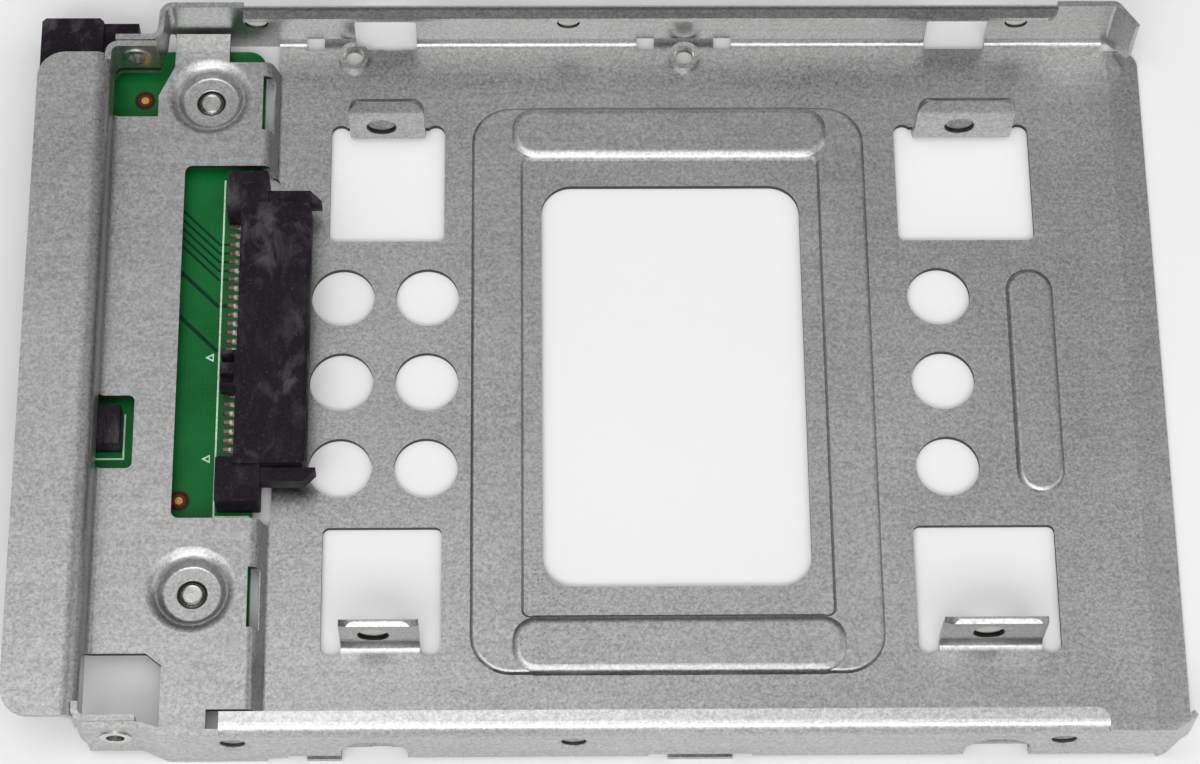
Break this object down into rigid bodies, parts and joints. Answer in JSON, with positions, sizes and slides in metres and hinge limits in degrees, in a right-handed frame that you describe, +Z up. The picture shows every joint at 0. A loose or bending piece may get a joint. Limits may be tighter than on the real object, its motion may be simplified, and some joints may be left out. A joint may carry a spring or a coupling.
{
  "type": "drive carrier",
  "caption": "Bent steel carrier that fits a small solid state drive into a larger drive bay, with an adapter board, a receptacle for the drive and a plug for the bay.",
  "frame": {"origin": "centre of the bounding box in plan, at the underside", "axes": "+X from the plug end to the open front, +Y to the left seen from behind, +Z up"},
  "size_m": [0.147, 0.1016, 0.011],
  "materials": {
    "galvanised_sheet": "zinc-coated sheet, satin, fine mottled grain, brighter along bends",
    "plated_steel": "bright zinc plating",
    "green_board": "green solder mask over glass laminate, semi-gloss",
    "masked_copper": "copper tracks under green solder mask",
    "white_print": "white board print, matte",
    "gold_pad": "gold-plated copper dot",
    "solder": "tin solder, satin",
    "tinned_contact": "tin-plated contact, satin",
    "black_moulding": "black glass-filled nylon, matte, with pale scuffs"
  },
  "bodies": {
    "root": {"tray_stamping": "galvanised_sheet", "corner_eyelet_right": "plated_steel", "corner_eyelet_left": "plated_steel", "adapter_board": "green_board", "board_screw_left": "plated_steel", "board_screw_right": "plated_steel", "fiducial_left": "gold_pad", "fiducial_right": "gold_pad", "printed_lines": "white_print", "copper_traces": "masked_copper", "receptacle_housing": "black_moulding", "receptacle_signal_contacts": "tinned_contact", "receptacle_power_contacts": "tinned_contact", "receptacle_pads": "solder", "receptacle_lock_right": "tinned_contact", "receptacle_lock_left": "tinned_contact", "plug_housing": "black_moulding", "plug_signal_contacts": "tinned_contact", "plug_power_contacts": "tinned_contact", "plug_pads": "solder", "plug_lock_right": "tinned_contact", "plug_lock_left": "tinned_contact"}
  },
  "joints": []
}
